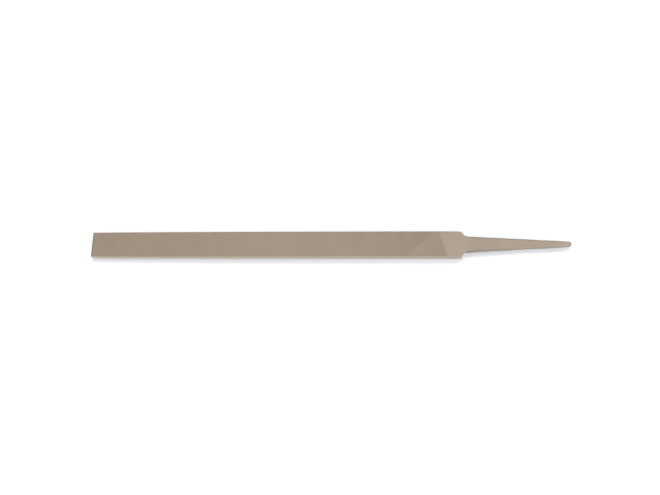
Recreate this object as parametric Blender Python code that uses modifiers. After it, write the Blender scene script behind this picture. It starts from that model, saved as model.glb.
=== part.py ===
"""Flat file: a bar of even width that thins towards the point with a belly, a plain
heel with sloped shoulders, and a tapered tang for a handle.

Metres, +Z up. X runs along the file from the point to the tang, Y across its width.
The lower face lies on Z = 0 and the origin is under the middle of the whole length.
"""

import bmesh
import bpy

# ---- driving dimensions (distances along the file are measured from the point) ----
BODY_LENGTH = 0.2000        # point to the corners of the shoulders
OVERALL_LENGTH = 0.2598     # point to the end of the tang
BLADE_END = 0.1926          # end of the toothed length
HEEL_END = 0.2055           # end of the shoulder fillets, start of the tang
ZONE_GAP = 0.0003           # clearance between neighbouring zones

BODY_WIDTH = 0.0140         # width of the bar
POINT_NARROWING = 0.031     # share of the width lost at the point
NARROWING_LENGTH = 0.097    # length over which it is lost

HEEL_THICKNESS = 0.0054     # thickness of the bar at the shoulders
TAPER_LINEAR = 0.141        # share of the thickness lost at the point, linear part
TAPER_BELLY = 0.2005        # and the part lost along a parabola, which makes the belly

LEVEL_START = 0.0720        # the lower face is level from here to the heel
POINT_LIFT = 0.0002         # rise of the lower face at the point

SHOULDER_RUN = 0.0011       # sloped shoulder, along the file
SHOULDER_DROP = 0.00175     # sloped shoulder, across the file
FILLET_STEPS = 6

TANG_HALF_WIDTH = 0.00395   # where the tang starts
TANG_TIP_HALF_WIDTH = 0.00133
TANG_SHIFT = 0.00024        # the tang's middle line lies this far from the bar's, towards +Y
TANG_TIP_SHIFT = 0.00042
TANG_THICKNESS = 0.0041
TANG_TIP_THICKNESS = 0.0016
THINNING_START = 0.1950     # the heel begins to thin towards the tang here

POINT_CHAMFER = 0.0006
EDGE_CHAMFER = 0.00025
TANG_EDGE = 0.0006

ORIGIN = OVERALL_LENGTH / 2.0


def body_thickness(s):
    """Thickness of the bar at a distance s from the point."""
    v = max(0.0, 1.0 - s / BODY_LENGTH)
    return HEEL_THICKNESS * (1.0 - TAPER_LINEAR * v - TAPER_BELLY * v * v)


def body_half_width(s):
    v = max(0.0, 1.0 - s / NARROWING_LENGTH)
    return 0.5 * BODY_WIDTH * (1.0 - POINT_NARROWING * v * v)


def along_tang(s):
    return (s - HEEL_END) / (OVERALL_LENGTH - HEEL_END)


def tang_half_width(s):
    return TANG_HALF_WIDTH + (TANG_TIP_HALF_WIDTH - TANG_HALF_WIDTH) * along_tang(s)


def tang_middle(s):
    return TANG_SHIFT + (TANG_TIP_SHIFT - TANG_SHIFT) * along_tang(s)


def tang_thickness(s):
    return TANG_THICKNESS + (TANG_TIP_THICKNESS - TANG_THICKNESS) * along_tang(s)


def heel_thickness(s):
    """The bar's thickness, eased down to the tang's over the shoulders."""
    f = min(1.0, max(0.0, (s - THINNING_START) / (HEEL_END - THINNING_START)))
    f = f * f * (3.0 - 2.0 * f)
    return body_thickness(s) * (1.0 - f) + tang_thickness(s) * f


def lower_face(s):
    """Height of the bar's lower face: level, with a slight rise towards the point."""
    v = max(0.0, 1.0 - s / LEVEL_START)
    return POINT_LIFT * v * v


# The middle plane of the bar runs on into the tang with the slope it has at the shoulders.
MID_SLOPE = 0.5 * HEEL_THICKNESS * TAPER_LINEAR / BODY_LENGTH


def mid_height(s):
    if s <= BODY_LENGTH:
        return lower_face(s) + 0.5 * body_thickness(s)
    return 0.5 * HEEL_THICKNESS + MID_SLOPE * (s - BODY_LENGTH)


def shoulder_outline(side):
    """One side of the heel in plan (side is 1 towards +Y and -1 towards -Y), from the blade
    to the tang: a straight edge, the sloped shoulder and a hollow fillet, which takes up the
    shift of the tang."""
    half = body_half_width(BODY_LENGTH)
    start = (BODY_LENGTH + SHOULDER_RUN, half - SHOULDER_DROP)
    end = (HEEL_END, tang_half_width(HEEL_END))
    slope = (TANG_TIP_HALF_WIDTH - TANG_HALF_WIDTH) / (OVERALL_LENGTH - HEEL_END)
    # where the shoulder's line and the tang's edge would meet
    t = (start[1] - end[1] - slope * (start[0] - end[0])) / (
        SHOULDER_DROP / SHOULDER_RUN + slope
    )
    corner = (start[0] + t, start[1] - t * SHOULDER_DROP / SHOULDER_RUN)
    points = [(BLADE_END + ZONE_GAP, half), (BODY_LENGTH, half), start]
    for i in range(1, FILLET_STEPS + 1):
        f = i / FILLET_STEPS
        s, y = (
            (1 - f) ** 2 * start[k] + 2 * f * (1 - f) * corner[k] + f * f * end[k]
            for k in range(2)
        )
        points.append((s, y + side * tang_middle(HEEL_END) * f * f))
    return [(s, side * y) for s, y in points]


def steel(name, colour, roughness):
    material = bpy.data.materials.new(name)
    material.use_nodes = True
    shader = material.node_tree.nodes["Principled BSDF"]
    shader.inputs["Base Color"].default_value = (*colour, 1.0)
    shader.inputs["Roughness"].default_value = roughness
    shader.inputs["Metallic"].default_value = 1.0
    return material


def cut_across(bm, stations):
    """Cuts the whole mesh across at each place along X."""
    for x in stations:
        bmesh.ops.bisect_plane(
            bm,
            geom=bm.verts[:] + bm.edges[:] + bm.faces[:],
            plane_co=(x, 0.0, 0.0),
            plane_no=(1.0, 0.0, 0.0),
        )


def weigh_edges(bm, weight):
    """Gives each edge its share of the chamfer's width."""
    layer = bm.edges.layers.float.new("bevel_weight_edge")
    for edge in bm.edges:
        edge[layer] = weight(*(v.co for v in edge.verts))


def finish(bm, name, material, collection, parent, width, segments):
    bmesh.ops.recalc_face_normals(bm, faces=bm.faces[:])
    mesh = bpy.data.meshes.new(name)
    bm.to_mesh(mesh)
    bm.free()
    mesh.materials.append(material)
    piece = bpy.data.objects.new(name, mesh)
    collection.objects.link(piece)
    piece.parent = parent
    bevel = piece.modifiers.new("edges", "BEVEL")
    bevel.limit_method = "WEIGHT"
    bevel.width = width
    bevel.segments = segments
    bevel.use_clamp_overlap = True
    return piece


def tapered_bar(start, end, inner, half_width, thickness, middle):
    """A cube cut at each place and drawn out to the width and thickness of the file there,
    about its middle line in plan."""
    bm = bmesh.new()
    bmesh.ops.create_cube(bm, size=1.0)
    cut_across(bm, [(s - start) / (end - start) - 0.5 for s in inner])
    for v in bm.verts:
        s = start + (v.co.x + 0.5) * (end - start)
        side = 1.0 if v.co.y > 0.0 else -1.0
        face = 1.0 if v.co.z > 0.0 else -1.0
        v.co = (
            s - ORIGIN,
            middle(s) + side * half_width(s),
            mid_height(s) + face * 0.5 * thickness(s),
        )
    return bm


def make_blade(collection, parent):
    inner = [0.020, 0.045, LEVEL_START, 0.097, 0.130, 0.163]
    bm = tapered_bar(
        0.0, BLADE_END, inner, body_half_width, body_thickness, lambda s: 0.0
    )
    point, back = -ORIGIN, BLADE_END - ORIGIN

    def weight(a, b):
        if abs(a.x - point) < 1e-6 and abs(b.x - point) < 1e-6:
            return 1.0
        if abs(a.x - b.x) > 1e-4:
            return EDGE_CHAMFER / POINT_CHAMFER
        return 0.0

    weigh_edges(bm, weight)
    return finish(
        bm, "blade", steel("cut_steel", (0.50, 0.395, 0.302), 0.33), collection, parent,
        POINT_CHAMFER, 1,
    )


def make_heel(collection, parent):
    near, far = shoulder_outline(-1.0), shoulder_outline(1.0)
    outline = near + far[::-1]
    curve = bpy.data.curves.new("heel_outline", "CURVE")
    curve.dimensions = "2D"
    curve.fill_mode = "BOTH"
    curve.extrude = 0.5
    spline = curve.splines.new("POLY")
    spline.points.add(len(outline) - 1)
    for point, (s, y) in zip(spline.points, outline):
        point.co = (s - ORIGIN, y, 0.0, 1.0)
    spline.use_cyclic_u = True
    drawn = bpy.data.objects.new("heel_outline", curve)
    collection.objects.link(drawn)
    bpy.context.view_layer.update()
    flat = bpy.data.meshes.new_from_object(
        drawn.evaluated_get(bpy.context.evaluated_depsgraph_get())
    )
    bpy.data.objects.remove(drawn)
    bm = bmesh.new()
    bm.from_mesh(flat)
    bpy.data.meshes.remove(flat)
    bmesh.ops.remove_doubles(bm, verts=bm.verts[:], dist=1e-7)
    # one broad face above and one below before the cuts
    for side_sign in (1.0, -1.0):
        flats = [f for f in bm.faces if f.normal.z * side_sign > 0.5]
        bmesh.ops.dissolve_faces(bm, faces=flats)
    cut_across(
        bm,
        [s - ORIGIN for s in (THINNING_START, 0.1968, 0.1984, BODY_LENGTH)]
        + [s - ORIGIN for s, _ in far[2:-1]],
    )
    for v in bm.verts:
        s = v.co.x + ORIGIN
        face = 1.0 if v.co.z > 0.0 else -1.0
        v.co.z = mid_height(s) + face * 0.5 * heel_thickness(s)
    front, back = BLADE_END + ZONE_GAP - ORIGIN, HEEL_END - ORIGIN

    def weight(a, b):
        crosses = abs(a.y - b.y) > 1e-4 and a.y * b.y < 0.0
        upright = abs(a.z - b.z) > 1e-3
        at_end = any(abs(a.x - x) < 1e-6 and abs(b.x - x) < 1e-6 for x in (front, back))
        if crosses or upright or at_end:
            return 0.0
        f = (0.5 * (a.x + b.x) - front) / (back - front)
        return (EDGE_CHAMFER + (TANG_EDGE - EDGE_CHAMFER) * f * f) / TANG_EDGE

    weigh_edges(bm, weight)
    return finish(
        bm, "heel", steel("ground_steel", (0.538, 0.441, 0.341), 0.30), collection, parent,
        TANG_EDGE, 1,
    )


def make_tang(collection, parent):
    start = HEEL_END + ZONE_GAP
    bm = tapered_bar(
        start, OVERALL_LENGTH, [], tang_half_width, tang_thickness, tang_middle
    )
    front = start - ORIGIN

    def weight(a, b):
        if abs(a.x - front) < 1e-6 and abs(b.x - front) < 1e-6:
            return 0.0
        return 1.0

    weigh_edges(bm, weight)
    return finish(
        bm, "tang", steel("forged_steel", (0.521, 0.424, 0.331), 0.35), collection, parent,
        TANG_EDGE, 2,
    )


def main():
    for old in list(bpy.data.objects):
        bpy.data.objects.remove(old)
    collection = bpy.data.collections.new("flat_file")
    bpy.context.scene.collection.children.link(collection)
    parent = bpy.data.objects.new("flat_file_origin", None)
    collection.objects.link(parent)
    make_blade(collection, parent)
    make_heel(collection, parent)
    make_tang(collection, parent)


main()
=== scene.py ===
"""A flat file lying on a pale floor, seen steeply from above.

The bar carries real teeth: both broad faces are double cut, the far edge is single cut and
the near edge is smooth. Lengths are in millimetres while shapes are worked out, measured
along the file from its point, and in metres once they are placed.
"""

import math

import bmesh
import bpy
import numpy as np
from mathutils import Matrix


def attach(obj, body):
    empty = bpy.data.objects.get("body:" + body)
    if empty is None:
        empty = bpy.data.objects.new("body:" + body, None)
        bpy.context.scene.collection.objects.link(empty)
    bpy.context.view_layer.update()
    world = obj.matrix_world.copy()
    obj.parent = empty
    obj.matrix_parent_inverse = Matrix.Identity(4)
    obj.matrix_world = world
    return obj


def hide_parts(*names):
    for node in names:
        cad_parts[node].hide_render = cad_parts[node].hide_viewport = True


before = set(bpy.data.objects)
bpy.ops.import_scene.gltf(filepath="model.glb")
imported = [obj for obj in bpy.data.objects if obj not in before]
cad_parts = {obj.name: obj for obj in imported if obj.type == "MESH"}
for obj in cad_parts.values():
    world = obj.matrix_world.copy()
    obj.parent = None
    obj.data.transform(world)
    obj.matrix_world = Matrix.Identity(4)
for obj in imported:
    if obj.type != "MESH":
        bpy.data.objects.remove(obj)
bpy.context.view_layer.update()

# ---- the bar and the tang, as in the frame ----
BODY_LENGTH = 200.0
OVERALL_LENGTH = 259.8
BLADE_END = 192.6
HEEL_END = 205.5
HALF_WIDTH = 7.0
POINT_NARROWING = 0.031
NARROWING_LENGTH = 97.0
HEEL_THICKNESS = 5.4
TAPER_LINEAR = 0.141
TAPER_BELLY = 0.2005
LEVEL_START = 72.0
POINT_LIFT = 0.2
# shoulders: where the corner is, how steeply the slope falls, how far, end of the fillet
FAR_SHOULDER = (200.24, 1.49, 1.65, 205.2)
NEAR_SHOULDER = (200.05, 1.80, 2.60, 203.0)
TANG_HALF_WIDTH = 3.95
TANG_TIP_HALF_WIDTH = 1.33
TANG_SHIFT = 0.24       # the tang's middle line lies this far from the bar's, towards +Y
TANG_TIP_SHIFT = 0.42
TANG_THICKNESS = 4.1
TANG_TIP_THICKNESS = 1.6
THINNING_START = 195.0
ORIGIN = OVERALL_LENGTH / 2.0

# ---- the teeth ----
UP_SLANT = 0.2895       # s + UP_SLANT * y is the same all along an upcut tooth
OVER_SLANT = 0.9716     # s - OVER_SLANT * y is the same all along an overcut groove
UPCUT_END = 189.81      # where the two cuts stop, on the middle line
OVERCUT_END = 178.23
UP_PITCH = 0.520        # along the file
OVER_PITCH = 0.837
FRONT_SHARE = 0.28      # of the pitch, the steep front of a tooth
CREST = 0.04            # above the bare steel
ROOT = -0.11
GROOVE = 0.085          # how far the overcut lowers a crest
SINGLE_DEPTH = 0.90     # share of that height where the upcut runs on alone
SINGLE_TONE = 0.55      # and of the brightness of its crests
SHEEN_FALLOFF = (135.0, 160.0, 0.18)    # towards the heel the double cut's crests are painted darker, a painted fall-off of the sheen
EDGE_PITCH = 0.56       # single cut on the far edge
EDGE_SLANT = 1.6        # how far an edge tooth leans over the edge's height
EDGE_CREST = 0.06
EDGE_ROOT = -0.07
EDGE_CUT_END = 189.4

FACE_RIM = 0.14         # chamfer between a face and an edge
POINT_RUN = 0.60        # chamfer round the point
EDGE_RUN = 0.15         # and at the safe edge
NICK = (234.2, 1.6)     # a small dent in the tang's near edge: middle and half length
SEED = 20


def thickness(s):
    v = np.maximum(0.0, 1.0 - np.asarray(s, float) / BODY_LENGTH)
    return HEEL_THICKNESS * (1.0 - TAPER_LINEAR * v - TAPER_BELLY * v * v)


def half_width(s):
    v = np.maximum(0.0, 1.0 - np.asarray(s, float) / NARROWING_LENGTH)
    return HALF_WIDTH * (1.0 - POINT_NARROWING * v * v)


def lower_face(s):
    v = np.maximum(0.0, 1.0 - np.asarray(s, float) / LEVEL_START)
    return POINT_LIFT * v * v


def upper_face(s):
    return lower_face(s) + thickness(s)


def along_tang(s):
    return (s - HEEL_END) / (OVERALL_LENGTH - HEEL_END)


def tang_half_width(s):
    return TANG_HALF_WIDTH + (TANG_TIP_HALF_WIDTH - TANG_HALF_WIDTH) * along_tang(s)


def tang_middle(s):
    return TANG_SHIFT + (TANG_TIP_SHIFT - TANG_SHIFT) * along_tang(s)


def tang_radius(s):
    return 0.50 - 0.12 * along_tang(s)


def tang_thickness(s):
    return TANG_THICKNESS + (TANG_TIP_THICKNESS - TANG_THICKNESS) * along_tang(s)


def mid_height(s):
    if s <= BODY_LENGTH:
        return float(lower_face(s) + 0.5 * thickness(s))
    return 0.5 * HEEL_THICKNESS * (1.0 + TAPER_LINEAR * (s - BODY_LENGTH) / BODY_LENGTH)


def heel_thickness(s):
    f = min(1.0, max(0.0, (s - THINNING_START) / (HEEL_END - THINNING_START)))
    f = f * f * (3.0 - 2.0 * f)
    return float(thickness(s)) * (1.0 - f) + tang_thickness(s) * f


def smooth_step(f):
    f = min(1.0, max(0.0, f))
    return f * f * (3.0 - 2.0 * f)


# ------------------------------------------------------------------ the toothed blade


class Shell:
    """Vertices, faces and what each one carries, gathered before the mesh is made."""

    def __init__(self):
        self.places, self.tooth, self.bare, self.rim, self.bright = [], [], [], [], []
        self.faces, self.charts = [], []

    def add(self, places, tooth, bare, rim, bright=0.0):
        first = len(self.places)
        self.places += [tuple(p) for p in places]
        self.tooth += [float(t) for t in tooth]
        self.bare += [float(b) for b in bare]
        self.rim += [float(r) for r in rim]
        # edges get a painted tone: lighter at the point, a painted reflection of the lit floor, fading
        # towards the heel
        self.bright += [bright * (1.0 - 0.70 * (p[0] / BLADE_END) ** 1.5) for p in places]
        return list(range(first, len(self.places)))

    def face(self, corners, chart):
        corners = [c for i, c in enumerate(corners) if c != corners[i - 1]]
        if len(corners) > 2:
            self.faces.append(corners)
            self.charts.append(chart)

    def zip(self, a, b, chart):
        """Triangles between two rows of (parameter, vertex), both in rising order."""
        i = j = 0
        while i < len(a) - 1 or j < len(b) - 1:
            if j == len(b) - 1 or (i < len(a) - 1 and a[i + 1][0] <= b[j + 1][0]):
                self.face((a[i][1], a[i + 1][1], b[j][1]), chart)
                i += 1
            else:
                self.face((a[i][1], b[j + 1][1], b[j][1]), chart)
                j += 1


def clip(places, faces, bounds):
    """Cuts a flat patch (first two coordinates) to a rectangle. Returns its places, its
    faces and the vertices of its four sides, in rising order."""
    (a0, a1), (b0, b1) = bounds
    mesh = bpy.data.meshes.new("patch")
    mesh.from_pydata(places, [], faces)
    bm = bmesh.new()
    bm.from_mesh(mesh)
    bpy.data.meshes.remove(mesh)
    for co, no in (
        ((a0, 0, 0), (-1, 0, 0)),
        ((a1, 0, 0), (1, 0, 0)),
        ((0, b0, 0), (0, -1, 0)),
        ((0, b1, 0), (0, 1, 0)),
    ):
        bmesh.ops.bisect_plane(
            bm, geom=bm.verts[:] + bm.edges[:] + bm.faces[:], dist=1e-5,
            plane_co=co, plane_no=no, clear_outer=True,
        )
    bmesh.ops.remove_doubles(bm, verts=bm.verts[:], dist=0.012)
    bm.verts.ensure_lookup_table()
    bm.verts.index_update()
    sides = {"a0": [], "a1": [], "b0": [], "b1": []}
    for v in bm.verts:
        if not v.is_boundary:
            continue
        if abs(v.co.x - a0) < 0.0125:
            v.co.x = a0
            sides["a0"].append(v.index)
        if abs(v.co.x - a1) < 0.0125:
            v.co.x = a1
            sides["a1"].append(v.index)
        if abs(v.co.y - b0) < 0.0125:
            v.co.y = b0
            sides["b0"].append(v.index)
        if abs(v.co.y - b1) < 0.0125:
            v.co.y = b1
            sides["b1"].append(v.index)
    out = np.array([v.co[:] for v in bm.verts])
    kept = [[v.index for v in f.verts] for f in bm.faces]
    bm.free()
    for name, members in sides.items():
        members.sort(key=lambda i: out[i][1 if name[0] == "a" else 0])
    return out, kept, sides


def toothed_face():
    """One broad face laid flat: distance along the file, across it, and height over the
    bare steel. Upcut teeth cross overcut grooves, and every tooth's steep front faces the
    point."""
    rng = np.random.default_rng(SEED)
    count = int((UPCUT_END + 8.0) / UP_PITCH)
    up, up_kind = [], []
    for k in range(count, 0, -1):
        root = UPCUT_END - k * UP_PITCH
        up += [root, root + FRONT_SHARE * UP_PITCH]
        up_kind += ["root", "crest"]
    for step in (0.0, 0.3, 1.6, 3.2, 5.4, 8.0):
        up.append(UPCUT_END + step)
        up_kind.append("bare")
    up, up_kind = np.array(up), np.array(up_kind)
    up += np.where(up_kind == "bare", 0.0, rng.uniform(-0.012, 0.012, len(up)))

    over, over_kind = [], []
    first = int((OVERCUT_END + 12.0) / OVER_PITCH)
    for k in range(first, 0, -1):
        groove = OVERCUT_END - (k - 0.5) * OVER_PITCH
        over += [groove - 0.5 * OVER_PITCH, groove]
        over_kind += ["ridge", "groove"]
    reach = OVERCUT_END
    while reach < BLADE_END + 10.0:
        over.append(reach)
        over_kind.append("plain")
        reach += 0.95
    over, over_kind = np.array(over), np.array(over_kind)

    u, v = np.meshgrid(up, over, indexing="ij")
    y = (u - v) / (UP_SLANT + OVER_SLANT)
    s = (OVER_SLANT * u + UP_SLANT * v) / (UP_SLANT + OVER_SLANT)
    crest = (up_kind == "crest")[:, None]
    root = (up_kind == "root")[:, None]
    groove = (over_kind == "groove")[None, :]
    lift = rng.uniform(-0.006, 0.006, (len(up), 1)) + rng.uniform(-0.005, 0.005, u.shape)
    depth = np.where((over_kind == "plain")[None, :], SINGLE_DEPTH, 1.0)
    height = np.zeros_like(u)
    height = np.where(crest, CREST * depth + lift - GROOVE * groove, height)
    height = np.where(root, ROOT * depth + 0.6 * lift - 0.015 * groove, height)

    near = (s > -0.5) & (s < BLADE_END + 0.5) & (np.abs(y) < HALF_WIDTH + 0.5)
    use = near[:-1, :-1] | near[1:, :-1] | near[1:, 1:] | near[:-1, 1:]
    index = np.arange(u.size).reshape(u.shape)
    quads = np.stack(
        [index[:-1, :-1], index[1:, :-1], index[1:, 1:], index[:-1, 1:]], axis=-1
    )[use]
    kept, quads = np.unique(quads, return_inverse=True)
    quads = quads.reshape(-1, 4)
    places = np.stack([s.ravel()[kept], y.ravel()[kept], height.ravel()[kept]], axis=1)
    inner = HALF_WIDTH - FACE_RIM
    return clip(places.tolist(), quads.tolist(), ((POINT_RUN, BLADE_END), (-inner, inner)))


def cut_edge():
    """The far edge laid flat: along the file, share of the edge's height, and height of
    the single-cut teeth."""
    rng = np.random.default_rng(SEED + 1)
    lines, kinds = [], []
    for k in range(int((EDGE_CUT_END + 4.0) / EDGE_PITCH), 0, -1):
        root = EDGE_CUT_END - k * EDGE_PITCH
        lines += [root, root + 0.3 * EDGE_PITCH]
        kinds += [EDGE_ROOT, EDGE_CREST]
    lines += [EDGE_CUT_END, EDGE_CUT_END + 2.4, EDGE_CUT_END + 6.5]
    kinds += [0.0, 0.0, 0.0]
    shares = np.linspace(0.0, 1.0, 4)
    places, faces = [], []
    for line, kind in zip(lines, kinds):
        jitter = rng.uniform(-0.006, 0.006) if kind else 0.0
        for q in shares:
            places.append((line + EDGE_SLANT * (q - 0.5), q, kind + jitter))
    n = len(shares)
    for i in range(len(lines) - 1):
        for j in range(n - 1):
            a = i * n + j
            faces.append((a, a + n, a + n + 1, a + 1))
    return clip(places, faces, ((POINT_RUN, BLADE_END), (0.0, 1.0)))


def safe_edge():
    """The near edge laid flat: plain."""
    stations = [EDGE_RUN, *np.linspace(2.0, BLADE_END, 61)]
    shares = np.linspace(0.0, 1.0, 5)
    places = [(s, q, 0.0) for s in stations for q in shares]
    n = len(shares)
    faces = [
        (i * n + j, (i + 1) * n + j, (i + 1) * n + j + 1, i * n + j + 1)
        for i in range(len(stations) - 1)
        for j in range(n - 1)
    ]
    return clip(places, faces, ((EDGE_RUN, BLADE_END), (0.0, 1.0)))


def tooth_share(height, root, crest):
    return np.clip((height - root) / (crest - root), 0.0, 1.0)


def build_blade():
    shell = Shell()
    flat, flat_faces, flat_sides = toothed_face()
    s, across, height = flat.T
    bare = np.clip((s + UP_SLANT * across - UPCUT_END) / 0.3, 0.0, 1.0)
    tooth = tooth_share(height, ROOT, CREST)
    # crests painted darker towards the heel, a painted fall-off of the sheen along the file
    sheen_falloff = 1.0 - SHEEN_FALLOFF[2] * np.clip((s - SHEEN_FALLOFF[0]) / (SHEEN_FALLOFF[1] - SHEEN_FALLOFF[0]), 0.0, 1.0)
    tooth *= np.where(s - OVER_SLANT * across > OVERCUT_END + 0.1, SINGLE_TONE, sheen_falloff)
    # the long rims are painted darker, the far one most: painted shade for the dark surround their
    # chamfers mirror
    rim = np.clip((np.abs(across) - (HALF_WIDTH - FACE_RIM - 0.35)) / 0.35, 0.0, 1.0)
    wide = half_width(s) / HALF_WIDTH
    rows = {}
    for face, turn in (("upper", 1.0), ("lower", -1.0)):
        y = turn * across * wide
        z = upper_face(s) + height if turn > 0 else lower_face(s) - height
        index = shell.add(
            np.stack([s, y, z], axis=1), tooth, bare, np.where(y > 0.0, 0.9, 0.35) * rim
        )
        for f in flat_faces:
            shell.face([index[i] for i in f], face)
        near, far = ("b0", "b1") if turn > 0 else ("b1", "b0")
        rows[face, "near"] = [(s[i], index[i]) for i in flat_sides[near]]
        rows[face, "far"] = [(s[i], index[i]) for i in flat_sides[far]]
        for end, side in (("point", "a0"), ("heel", "a1")):
            row = [(float(y[i]), index[i]) for i in flat_sides[side]]
            rows[face, end] = sorted(row)

    for edge, sign, (places, faces, sides) in (
        ("far", 1.0, cut_edge()), ("near", -1.0, safe_edge())
    ):
        s, share, height = places.T
        y = sign * (half_width(s) + height)
        z = lower_face(s) + FACE_RIM + share * (thickness(s) - 2.0 * FACE_RIM)
        if sign > 0:
            end = EDGE_CUT_END + EDGE_SLANT * (share - 0.5)
            bare = np.clip((s - end) / 0.3, 0.0, 1.0)
            tooth = tooth_share(height, EDGE_ROOT, EDGE_CREST)
        else:
            bare, tooth = np.ones_like(s), np.ones_like(s)
        index = shell.add(np.stack([s, y, z], axis=1), tooth, bare, np.zeros_like(s), 1.0)
        for f in faces:
            shell.face([index[i] for i in f], edge)
        rows[edge, "lower"] = [(s[i], index[i]) for i in sides["b0"]]
        rows[edge, "upper"] = [(s[i], index[i]) for i in sides["b1"]]
        for end, side in (("point", "a0"), ("heel", "a1")):
            rows[edge, end] = sorted((float(z[i]), index[i]) for i in sides[side])

    # the four long rims
    for face in ("upper", "lower"):
        for edge in ("near", "far"):
            shell.zip(rows[face, edge], rows[edge, face], face)

    # the flat end of the point and the chamfer round it
    near_end, far_end = 0.06 - float(half_width(0.0)), float(half_width(0.0)) - 0.30
    low = float(lower_face(0.0)) + 0.20
    high = float(upper_face(0.0)) - 0.45
    widths = np.linspace(near_end, far_end, 15)
    heights = np.linspace(low, high, 5)
    top = shell.add([(0.0, y, high) for y in widths], [0.5] * 15, [1] * 15, [1] * 15)
    bottom = shell.add([(0.0, y, low) for y in widths], [0.5] * 15, [1] * 15, [1] * 15)
    near = shell.add([(0.0, near_end, z) for z in heights[1:-1]], [0.5] * 3, [1] * 3, [1] * 3)
    far = shell.add([(0.0, far_end, z) for z in heights[1:-1]], [0.5] * 3, [1] * 3, [1] * 3)
    near = [bottom[0], *near, top[0]]
    far = [bottom[-1], *far, top[-1]]
    shell.zip(rows["upper", "point"], list(zip(widths, top)), "upper")
    shell.zip(rows["lower", "point"], list(zip(widths, bottom)), "lower")
    shell.zip(rows["near", "point"], list(zip(heights, near)), "near")
    shell.zip(rows["far", "point"], list(zip(heights, far)), "far")
    for face, line in (("upper", top), ("lower", bottom)):
        for edge, end in (("near", 0), ("far", -1)):
            side = rows[edge, "point"][-1 if face == "upper" else 0][1]
            shell.face((rows[face, "point"][end][1], side, line[end]), face)
    edge = bottom + far[1:-1] + top[::-1] + near[-2:0:-1]
    middle = np.array([0.0, 0.5 * (near_end + far_end), 0.5 * (low + high)])
    shrink = 1.0 - 0.08 / np.array([1.0, 0.5 * (far_end - near_end), 0.5 * (high - low)])
    inner = [middle + (np.array(shell.places[i]) - middle) * shrink for i in edge]
    inner = shell.add(inner, [0.5] * len(edge), [1] * len(edge), [0] * len(edge), 0.2)
    for i in range(len(edge)):
        shell.face((edge[i - 1], edge[i], inner[i], inner[i - 1]), "point")
    shell.face(inner, "point")

    # the plane where the heel goes on
    loop = [i for _, i in rows["lower", "heel"]]
    loop += [i for _, i in rows["far", "heel"]]
    loop += [i for _, i in rows["upper", "heel"]][::-1]
    loop += [i for _, i in rows["near", "heel"]][::-1]
    shell.face(loop, "end")

    # the chamfer at the point is painted dark: painted shade for the dark surround it mirrors
    point_shade = np.zeros(len(shell.places))
    point_shade[edge] = 1.0
    for side in ("upper", "lower", "far"):
        point_shade[[i for _, i in rows[side, "point"]]] = 1.0
    return shell, np.array(shell.places), point_shade


def lay_out(mesh, charts, places):
    """A map of the blade in two lengths, one row for each side, so that the teeth keep an
    even share of it."""
    half = 0.5 * BLADE_END
    rows = {"upper": 0.0, "lower": 30.4, "far": 60.8, "near": 73.6}
    layer = mesh.uv_layers.new(name="OFBake")
    uv = np.zeros((len(mesh.loops), 2))
    loops = np.zeros(len(mesh.loops), int)
    mesh.loops.foreach_get("vertex_index", loops)
    for polygon, chart in zip(mesh.polygons, charts):
        where = slice(polygon.loop_start, polygon.loop_start + polygon.loop_total)
        p = places[loops[where]]
        if chart in ("point", "end"):
            a = p[:, 1] + 8.0 + (20.0 if chart == "end" else 0.0)
            b = p[:, 2] + 87.2
        else:
            second = p[:, 0].mean() > half
            a = p[:, 0] - (half if second else 0.0) + 1.6
            tall = 15.2 if chart in ("upper", "lower") else 6.4
            cross = {"upper": p[:, 1] + 7.5, "lower": 7.5 - p[:, 1]}.get(chart)
            b = (p[:, 2] + 0.3 if cross is None else cross) + rows[chart] + second * tall
        uv[where] = np.stack([a, b], axis=1) / 100.4
    layer.data.foreach_set("uv", uv.astype(np.float32).ravel())
    return layer


def float_layer(mesh, name, values):
    layer = mesh.attributes.new(name, "FLOAT", "POINT")
    layer.data.foreach_set("value", np.asarray(values, np.float32))


def place(places):
    out = np.array(places, float)
    out[:, 0] -= ORIGIN
    return (out * 0.001).tolist()


def make_piece(name, mesh, material, node):
    piece = bpy.data.objects.new(name, mesh)
    bpy.context.scene.collection.objects.link(piece)
    mesh.materials.append(material)
    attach(piece, "root")
    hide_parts(node)
    return piece


def turn_outwards(mesh):
    bm = bmesh.new()
    bm.from_mesh(mesh)
    bmesh.ops.recalc_face_normals(bm, faces=bm.faces[:])
    bm.to_mesh(mesh)
    bm.free()


# ------------------------------------------------------------------ heel and tang


def ring(near, far, low, high, radius, crown=0.0):
    """A rounded rectangle across the file, the same number of points every time. Gives
    (y, z, share of rounded edge, share of side)."""
    radius = min(radius, 0.48 * (high - low), 0.24 * (far - near))
    points = []
    corners = (
        (far - radius, high - radius, 0.0),
        (near + radius, high - radius, 90.0),
        (near + radius, low + radius, 180.0),
        (far - radius, low + radius, 270.0),
    )
    for k, (cy, cz, start) in enumerate(corners):
        for i in range(7):
            t = math.radians(start + 90.0 * i / 6.0)
            points.append(
                (cy + radius * math.cos(t), cz + radius * math.sin(t),
                 max(0.01, math.sin(math.pi * i / 6.0)), abs(math.cos(t)) ** 0.6)
            )
        ny, nz, turn = corners[(k + 1) % 4]
        turn = math.radians(turn)
        a = points[-1]
        b = (ny + radius * math.cos(turn), nz + radius * math.sin(turn))
        steps = 9 if k % 2 == 0 else 4
        for i in range(1, steps):
            f = i / steps
            bulge = crown * (1.0 - (2.0 * f - 1.0) ** 2) * (1.0 if k == 0 else -1.0)
            points.append(
                (a[0] + (b[0] - a[0]) * f,
                 a[1] + (b[1] - a[1]) * f + (bulge if k % 2 == 0 else 0.0), 0.0,
                 float(k % 2))
            )
    return points


NEAR_TOP = range(17, 22)    # the points of a ring on its upper near rounding


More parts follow.
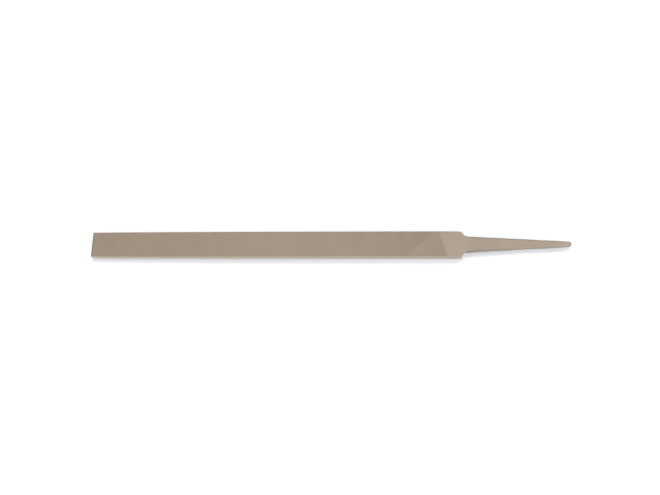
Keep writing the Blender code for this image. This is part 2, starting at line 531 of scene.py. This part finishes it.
def loft(name, sections):
    """A closed skin over rings (s, ring, share of forged steel). It carries the rounded
    edges, the ground sides of the bar with a painted tone, and painted shade and painted
    dark reflections on the sides, the far rounding and the end of the tang."""
    places, wear, turn, bright, scale, faces = [], [], [], [], [], []
    for s, points, forged in sections:
        # the ground sides of the heel take a painted tone for how light falls on them
        ground = 0.30 * (1.0 - smooth_step((s - BODY_LENGTH + 0.6) / 1.4))
        near = smooth_step((s - BODY_LENGTH) / 3.5)
        near *= 1.0 - 0.2 * smooth_step(along_tang(s) / 0.3)
        far = smooth_step((s - BODY_LENGTH - 1.5) / 7.0)
        base = 0.3 + 0.25 * smooth_step((along_tang(s) - 0.15) / 0.3)
        end = smooth_step((s - OVERALL_LENGTH + 1.0) / 0.5)
        dent = (s - NICK[0]) / NICK[1]
        lip = math.exp(-(((abs(dent) - 1.0) / 0.3) ** 2))
        for i, (y, z, w, side) in enumerate(points):
            at_nick = i in NEAR_TOP
            places.append((s, y, z))
            wear.append(w)
            turn.append(forged)
            bright.append(max(side * ground, lip if at_nick else 0.0))
            # the mask stored as scale is painted shade: the tang's far rounding and its end are
            # darkened as painted dark reflections, and its near side by the shoulder and the sides of
            # heel and tang are darkened where shade falls
            edge = base + (1.0 - base) * side if w or side else 0.0
            dark = edge * far if y > tang_middle(s) else 0.9 * side ** 2.5 * near
            dark = max(dark, 0.15 * side * smooth_step((s - BLADE_END) / 3.0))
            # the nick's dent is painted dark as shade, and its lip is painted light as a highlight
            dark = max(dark, 0.8 * max(0.0, 1.0 - dent * dent) if at_nick else 0.0)
            scale.append(max(dark * (1.0 - lip if at_nick else 1.0), end))
    n = len(sections[0][1])
    for i in range(len(sections) - 1):
        for j in range(n):
            k = (j + 1) % n
            faces.append((i * n + j, i * n + k, (i + 1) * n + k, (i + 1) * n + j))
    faces.append(tuple(range(n)))
    last = (len(sections) - 1) * n
    faces.append(tuple(range(last, last + n)))
    mesh = bpy.data.meshes.new(name)
    mesh.from_pydata(place(places), [], faces)
    mesh.validate()
    turn_outwards(mesh)
    for key, values in (("wear", wear), ("turn", turn), ("bright", bright), ("scale", scale)):
        float_layer(mesh, key, values)
    mesh.shade_smooth()
    mesh.set_sharp_from_angle(angle=math.radians(38.0))
    return mesh


def bezier(a, b, c, count):
    for i in range(1, count + 1):
        f = i / count
        yield tuple(
            (1 - f) ** 2 * a[k] + 2 * f * (1 - f) * b[k] + f * f * c[k] for k in range(2)
        )


def shoulder(side, corner, fall, drop, fillet_end):
    """One side of the heel in plan, as (distance along the file, distance from the middle):
    straight edge, slightly blunted corner, sloped shoulder and hollow fillet."""

    def tang_edge(s):
        return tang_half_width(s) + side * tang_middle(s)

    blunt = 0.16
    start = (corner + drop / fall, HALF_WIDTH - drop)
    end = (fillet_end, tang_edge(fillet_end))
    slope = (tang_edge(HEEL_END + 1.0) - tang_edge(HEEL_END))
    t = (start[1] - end[1] - slope * (start[0] - end[0])) / (fall + slope)
    meet = (start[0] + t, start[1] - t * fall)
    points = [(BLADE_END, HALF_WIDTH), (corner - blunt, HALF_WIDTH)]
    past = (corner + 0.6 * blunt, HALF_WIDTH - 0.6 * blunt * fall)
    points += list(bezier(points[-1], (corner, HALF_WIDTH), past, 5))
    points += [tuple(past[k] + (start[k] - past[k]) * f for k in range(2)) for f in (0.5, 1.0)]
    points += list(bezier(start, meet, end, 14))
    points.append((HEEL_END, tang_edge(HEEL_END)))
    return np.array(points)


def build_heel():
    far, near = shoulder(1.0, *FAR_SHOULDER), shoulder(-1.0, *NEAR_SHOULDER)
    stations = [*np.linspace(BLADE_END, 199.6, 9), *far[2:, 0], *near[2:, 0]]
    kept = []
    for s in sorted(stations):
        if not kept or s - kept[-1] > 0.03:
            kept.append(float(s))
    kept[-1] = HEEL_END
    sections = []
    for s in kept:
        middle, t = mid_height(s), heel_thickness(s)
        change = smooth_step((s - 196.5) / (HEEL_END - 196.5))
        radius = FACE_RIM + (tang_radius(HEEL_END) - FACE_RIM) * change
        left, right = (float(np.interp(s, line[:, 0], line[:, 1])) for line in (near, far))
        sections.append(
            (s, ring(-left, right, middle - 0.5 * t, middle + 0.5 * t, radius), change)
        )
    return loft("heel_visual", sections)


def build_tang():
    sections = []
    end_round = 1.2
    stations = list(np.linspace(HEEL_END, OVERALL_LENGTH - end_round, 60))
    stations = [s for s in stations if abs(s - NICK[0]) > 1.6 * NICK[1]]
    stations = sorted(stations + list(NICK[0] + NICK[1] * np.linspace(-1.5, 1.5, 17)))
    for s in stations:
        settle = smooth_step((s - HEEL_END) / 6.0)
        half, shift = tang_half_width(s), tang_middle(s)
        far = shift + half + settle * (0.035 * math.sin(0.43 * s + 0.6) + 0.022 * math.sin(1.13 * s))
        near = shift - half - settle * (0.030 * math.sin(0.37 * s) + 0.024 * math.sin(0.97 * s + 2.1))
        near -= 0.14 * smooth_step((s - 243.5) / 4.0) * (1.0 - smooth_step((s - 254.5) / 3.5))
        t = tang_thickness(s)
        t += settle * (0.030 * math.sin(0.27 * s + 1.9) + 0.018 * math.sin(0.71 * s))
        middle = mid_height(s) + settle * 0.015 * math.sin(0.4 * s + 1.0)
        points = ring(near, far, middle - 0.5 * t, middle + 0.5 * t, tang_radius(s), 0.04 * settle)
        dent = 0.2 * max(0.0, 1.0 - ((s - NICK[0]) / NICK[1]) ** 2) ** 2
        for i in NEAR_TOP:
            y, z, wear, side = points[i]
            points[i] = (y + dent * wear, z - 0.7 * dent * wear, wear, side)
        sections.append((float(s), points, 1.0))
    s0, t0 = stations[-1], t
    for i in range(1, 11):
        a = math.radians(86.0 * i / 10.0)
        s = s0 + end_round * math.sin(a) / math.sin(math.radians(86.0))
        inset = 1.0 - math.cos(a)
        t = t0 - 0.90 * inset
        sections.append(
            (s,
             ring(near + 1.10 * inset, far - 0.50 * inset, middle - 0.5 * t, middle + 0.5 * t,
                  tang_radius(s0), 0.04 * math.cos(a)),
             1.0)
        )
    return loft("tang_visual", sections)


# ------------------------------------------------------------------ materials


class Nodes:
    """A material's nodes, added one after another."""

    def __init__(self, name):
        self.material = bpy.data.materials.new(name)
        self.material.use_nodes = True
        self.tree = self.material.node_tree
        self.shader = self.tree.nodes["Principled BSDF"]
        self.object_space = self.tree.nodes.new("ShaderNodeTexCoord").outputs["Object"]

    def put(self, socket, value):
        if isinstance(value, bpy.types.NodeSocket):
            self.tree.links.new(value, socket)
        elif isinstance(value, tuple) and len(value) == 3 and socket.type == "RGBA":
            socket.default_value = (*value, 1.0)
        else:
            socket.default_value = value

    def attribute(self, name):
        node = self.tree.nodes.new("ShaderNodeAttribute")
        node.attribute_name = name
        return node.outputs["Fac"]

    def noise(self, scale, stretch=(1.0, 1.0, 1.0), detail=2.0, rough=0.5):
        move = self.tree.nodes.new("ShaderNodeMapping")
        self.put(move.inputs["Vector"], self.object_space)
        move.inputs["Scale"].default_value = stretch
        node = self.tree.nodes.new("ShaderNodeTexNoise")
        self.put(node.inputs["Vector"], move.outputs["Vector"])
        node.inputs["Scale"].default_value = scale
        node.inputs["Detail"].default_value = detail
        node.inputs["Roughness"].default_value = rough
        return node.outputs["Fac"]

    def spread(self, value, low, high, start=0.3, end=0.7):
        node = self.tree.nodes.new("ShaderNodeMapRange")
        self.put(node.inputs["Value"], value)
        for key, number in (
            ("From Min", start), ("From Max", end), ("To Min", low), ("To Max", high)
        ):
            node.inputs[key].default_value = number
        return node.outputs["Result"]

    def ramp(self, value, stops):
        """A colour between the (place, colour) stops."""
        node = self.tree.nodes.new("ShaderNodeValToRGB")
        points = node.color_ramp.elements
        while len(points) < len(stops):
            points.new(1.0)
        for point, (where, colour) in zip(points, stops):
            point.position = where
            point.color = (*colour, 1.0)
        self.put(node.inputs["Fac"], value)
        return node.outputs["Color"]

    def math(self, kind, a, b):
        node = self.tree.nodes.new("ShaderNodeMath")
        node.operation = kind
        self.put(node.inputs[0], a)
        self.put(node.inputs[1], b)
        return node.outputs["Value"]

    def mix(self, a, b, share, blend="MIX"):
        node = self.tree.nodes.new("ShaderNodeMix")
        node.data_type = "RGBA"
        node.blend_type = blend
        self.put(node.inputs["Factor"], share)
        self.put(node.inputs[6], a)
        self.put(node.inputs[7], b)
        return node.outputs[2]

    def shade(self, colour, amount):
        """A colour times a number."""
        node = self.tree.nodes.new("ShaderNodeVectorMath")
        node.operation = "SCALE"
        self.put(node.inputs[0], colour)
        self.put(node.inputs["Scale"], amount)
        return node.outputs["Vector"]

    def bump(self, height, strength, distance, under=None):
        node = self.tree.nodes.new("ShaderNodeBump")
        node.inputs["Strength"].default_value = strength
        node.inputs["Distance"].default_value = distance
        self.put(node.inputs["Height"], height)
        if under is not None:
            self.put(node.inputs["Normal"], under)
        return node.outputs["Normal"]

    def steel(self, colour, roughness, normal):
        self.put(self.shader.inputs["Base Color"], colour)
        self.put(self.shader.inputs["Roughness"], roughness)
        self.put(self.shader.inputs["Normal"], normal)
        self.shader.inputs["Metallic"].default_value = 1.0
        return self.material


CUT_CREST = (0.523, 0.413, 0.316)
CUT_ROOT = (0.440, 0.347, 0.264)
GROUND = (0.538, 0.441, 0.341)
FORGED = (0.521, 0.424, 0.331)
EDGE = (0.656, 0.554, 0.420)         # the bar's edges at the point
HEEL_EDGE = (0.534, 0.431, 0.316)    # and at the heel
# painted shade and painted dark reflections on heel and tang
SCALE = (0.300, 0.236, 0.168)
PAINTED_RIM_SHADE = (0.345, 0.275, 0.209)
PAINTED_POINT_SHADE = (0.270, 0.252, 0.188)
GRINDING = (160.0, 7000.0, 7000.0)
FORGING = (220.0, 3600.0, 3600.0)


# painted light on the edges, through the painted edge tone: ground steel, the heel's sides, then the
# lighter safe edge at the point
PAINTED_EDGE_TONES = ((0.0, GROUND), (0.3, HEEL_EDGE), (1.0, EDGE))


def cut_steel():
    n = Nodes("toothed_look")
    tooth, bare, rim = n.attribute("tooth"), n.attribute("bare"), n.attribute("rim")
    point_shade, bright = n.attribute("point_shade"), n.attribute("bright")
    cloud = n.noise(90.0, detail=3.0, rough=0.55)
    grain = n.noise(5200.0, detail=2.0)
    mottle = n.noise(1500.0, detail=2.0, rough=0.6)
    lines = n.noise(1.0, stretch=GRINDING, detail=2.0, rough=0.6)
    cut = n.mix(CUT_ROOT, CUT_CREST, n.spread(tooth, 0.0, 1.0, 0.05, 0.95))
    cut = n.shade(cut, n.spread(grain, 0.93, 1.07))
    cut = n.shade(cut, n.spread(mottle, 0.945, 1.055))
    # bare steel in the painted edge tone
    plain = n.ramp(bright, PAINTED_EDGE_TONES)
    plain = n.shade(plain, n.spread(lines, 0.98, 1.02))
    colour = n.mix(cut, plain, bare)
    # painted shade on the long rims and round the point
    colour = n.mix(colour, PAINTED_RIM_SHADE, n.math("MULTIPLY", rim, 0.62))
    # painted shade on the chamfer at the point
    colour = n.mix(colour, PAINTED_POINT_SHADE, point_shade)
    colour = n.shade(colour, n.spread(cloud, 0.98, 1.02))
    cut_rough = n.spread(grain, 0.28, 0.38)
    plain_rough = n.spread(lines, 0.26, 0.34)
    away = n.math("SUBTRACT", 1.0, bare)
    roughness = n.math(
        "ADD", n.math("MULTIPLY", cut_rough, away), n.math("MULTIPLY", plain_rough, bare)
    )
    normal = n.bump(grain, 0.25, 0.00002)
    normal = n.bump(n.math("MULTIPLY", lines, bare), 0.35, 0.00002, normal)
    return n.steel(colour, roughness, normal)


def smooth_steel(name):
    """Ground steel that turns into forged steel towards the tang."""
    n = Nodes(name)
    wear, turn = n.attribute("wear"), n.attribute("turn")
    bright, scale = n.attribute("bright"), n.attribute("scale")
    cloud = n.noise(90.0, detail=3.0, rough=0.55)
    fine = n.noise(1.0, stretch=GRINDING, detail=2.0, rough=0.6)
    drawn = n.noise(1.0, stretch=FORGING, detail=2.0, rough=0.6)
    spots = n.noise(1900.0, detail=3.0, rough=0.65)
    still = n.math("SUBTRACT", 1.0, turn)
    lines = n.math("ADD", n.math("MULTIPLY", fine, still), n.math("MULTIPLY", drawn, turn))
    colour = n.mix(n.ramp(bright, PAINTED_EDGE_TONES), FORGED, turn)
    # a painted highlight on the nick's lip
    colour = n.mix(colour, EDGE, n.math("MULTIPLY", bright, turn))
    light = tuple(1.12 * c for c in FORGED)
    colour = n.mix(colour, light, n.math("MULTIPLY", n.math("MULTIPLY", wear, turn), 0.25))
    # painted shade and painted dark reflections from the mask stored as scale
    colour = n.mix(colour, SCALE, scale)
    streak = n.math("SUBTRACT", n.spread(lines, 0.0, 1.0), 0.5)
    streak = n.math("MULTIPLY", streak, n.spread(turn, 0.03, 0.10, 0.0, 1.0))
    colour = n.shade(colour, n.math("ADD", 1.0, streak))
    colour = n.shade(colour, n.spread(cloud, 0.97, 1.03))
    pits = n.math("MULTIPLY", n.spread(spots, 0.16, 0.0, 0.22, 0.42), turn)
    colour = n.shade(colour, n.math("SUBTRACT", 1.0, pits))
    rough = n.math("ADD", n.spread(lines, 0.26, 0.34), n.math("MULTIPLY", turn, 0.05))
    height = n.math("MULTIPLY", lines, n.spread(turn, 0.7, 1.0, 0.0, 1.0))
    normal = n.bump(height, 0.5, 0.00002)
    normal = n.bump(n.math("MULTIPLY", spots, turn), 0.30, 0.00003, normal)
    return n.steel(colour, rough, normal)


# ------------------------------------------------------------------ the pieces

shell, places, point_shade = build_blade()
blade_mesh = bpy.data.meshes.new("blade_visual")
blade_mesh.from_pydata(place(places), [], shell.faces)
turn_outwards(blade_mesh)
float_layer(blade_mesh, "tooth", shell.tooth)
float_layer(blade_mesh, "bare", shell.bare)
float_layer(blade_mesh, "rim", shell.rim)
float_layer(blade_mesh, "bright", shell.bright)
float_layer(blade_mesh, "point_shade", point_shade)
lay_out(blade_mesh, shell.charts, places)
make_piece("blade_visual", blade_mesh, cut_steel(), "blade")

make_piece("heel_visual", build_heel(), smooth_steel("ground_look"), "heel")
make_piece("tang_visual", build_tang(), smooth_steel("forged_look"), "tang")

# ------------------------------------------------------------------ floor, light, camera

def stage_piece(name, shape):
    mesh = bpy.data.meshes.new(name)
    shape.to_mesh(mesh)
    shape.free()
    piece = bpy.data.objects.new(name, mesh)
    bpy.context.scene.collection.objects.link(piece)
    return piece


disc = bmesh.new()
bmesh.ops.create_circle(disc, cap_ends=True, segments=128, radius=0.45)
floor = stage_piece("floor", disc)
floor.location.z = -0.00006
paper = Nodes("floor_white")
paper.put(
    paper.shader.inputs["Base Color"],
    paper.shade((0.95, 0.95, 0.95), paper.spread(paper.noise(9.0), 0.995, 1.005)),
)
paper.shader.inputs["Roughness"].default_value = 0.9
floor.data.materials.append(paper.material)

# a plain white backdrop all round, which only the camera sees: it gives no light
ball = bmesh.new()
bmesh.ops.create_icosphere(ball, subdivisions=4, radius=3.0)
backdrop = stage_piece("backdrop", ball)
for kind in ("diffuse", "glossy", "transmission", "volume_scatter", "shadow"):
    setattr(backdrop, "visible_" + kind, False)
white = Nodes("backdrop_white")
white.shader.inputs["Base Color"].default_value = (0.0, 0.0, 0.0, 1.0)
white.shader.inputs["Specular IOR Level"].default_value = 0.0
white.shader.inputs["Emission Color"].default_value = (1.0, 1.0, 1.0, 1.0)
white.shader.inputs["Emission Strength"].default_value = 1.05
white.material.cycles.emission_sampling = "NONE"
backdrop.data.materials.append(white.material)

# a pale surround that the steel mirrors: even overhead, with one broad lighter patch, and
# darker towards the horizon, most of all behind the file
world = bpy.data.worlds.new("studio")
world.use_nodes = True
surround = world.node_tree
around = surround.nodes.new("ShaderNodeTexCoord")
parts = surround.nodes.new("ShaderNodeSeparateXYZ")
surround.links.new(around.outputs["Generated"], parts.inputs["Vector"])


def fade(value, start, end, low, high):
    node = surround.nodes.new("ShaderNodeMapRange")
    node.interpolation_type = "SMOOTHSTEP"
    for key, number in (
        ("From Min", start), ("From Max", end), ("To Min", low), ("To Max", high)
    ):
        node.inputs[key].default_value = number
    surround.links.new(value, node.inputs["Value"])
    return node.outputs["Result"]


def combine(kind, a, b):
    node = surround.nodes.new("ShaderNodeMath")
    node.operation = kind
    surround.links.new(a, node.inputs[0])
    surround.links.new(b, node.inputs[1])
    return node.outputs["Value"]


overhead = fade(parts.outputs["Z"], 0.10, 0.62, 0.0, 0.90)
horizon = combine(
    "MULTIPLY",
    fade(parts.outputs["Y"], -0.40, 0.40, 1.05, 0.30),
    fade(parts.outputs["Z"], 0.10, 0.62, 1.0, 0.0),
)
patch = combine(
    "MULTIPLY",
    fade(parts.outputs["X"], 0.46, 0.65, 0.92, 1.70),
    fade(parts.outputs["X"], 0.69, 0.80, 1.00, 0.38),
)
surround.links.new(
    combine("MULTIPLY", combine("ADD", overhead, horizon), patch),
    surround.nodes["Background"].inputs["Strength"],
)
surround.nodes["Background"].inputs["Color"].default_value = (0.97, 1.0, 1.035, 1.0)
bpy.context.scene.world = world


def soft_light(name, at, aim, size, watts):
    data = bpy.data.lights.new(name, "AREA")
    data.shape = "DISK"
    data.size = size
    data.energy = watts
    lamp = bpy.data.objects.new(name, data)
    bpy.context.scene.collection.objects.link(lamp)
    lamp.location = at
    away = np.array(at) - np.array(aim)
    lamp.rotation_mode = "XYZ"
    flat = math.hypot(away[0], away[1])
    lamp.rotation_euler = (math.atan2(flat, away[2]), 0.0, math.atan2(away[1], away[0]) + math.pi / 2.0)
    return lamp


# one lamp above and behind draws the soft shadow, one above and in front and a low one by
# the tang open it; they light the floor only, and the steel mirrors the surround
for name, at, size, watts, tint in (
    ("behind", (0.0, 0.56, 0.90), 0.49, 4.35, (1.0, 0.98, 0.95)),
    ("front", (0.0, -0.33, 1.00), 0.40, 1.30, (0.92, 0.98, 1.10)),
    ("low", (0.34, -0.30, 0.32), 0.10, 0.0060, (0.95, 0.99, 1.06)),
):
    aim = (0.085, 0.0, 0.0) if name == "low" else (0.0, 0.0, 0.0)
    lamp = soft_light(name, at, aim, size, watts)
    if name == "low":
        lamp.data.spread = math.radians(24.0)
    if name == "behind":
        lamp.data.shape = "ELLIPSE"
        lamp.data.size, lamp.data.size_y = 0.80, size
    lamp.data.color = tint
    lamp.visible_glossy = False

ELEVATION = math.radians(73.11)
DISTANCE = 0.35588
AIM = (-0.00098, -0.00056, 0.0)
camera_data = bpy.data.cameras.new("camera")
camera_data.sensor_fit = "HORIZONTAL"
camera_data.sensor_width = 36.0
camera_data.lens = 36.0 * 650.97 / 660.0
camera_data.clip_start = 0.01
camera_data.clip_end = 20.0
camera = bpy.data.objects.new("camera", camera_data)
bpy.context.scene.collection.objects.link(camera)
camera.location = (
    AIM[0],
    AIM[1] - DISTANCE * math.cos(ELEVATION),
    AIM[2] + DISTANCE * math.sin(ELEVATION),
)
camera.rotation_euler = (math.pi / 2.0 - ELEVATION, 0.0, 0.0)
bpy.context.scene.camera = camera
bpy.context.scene.view_settings.view_transform = "Standard"
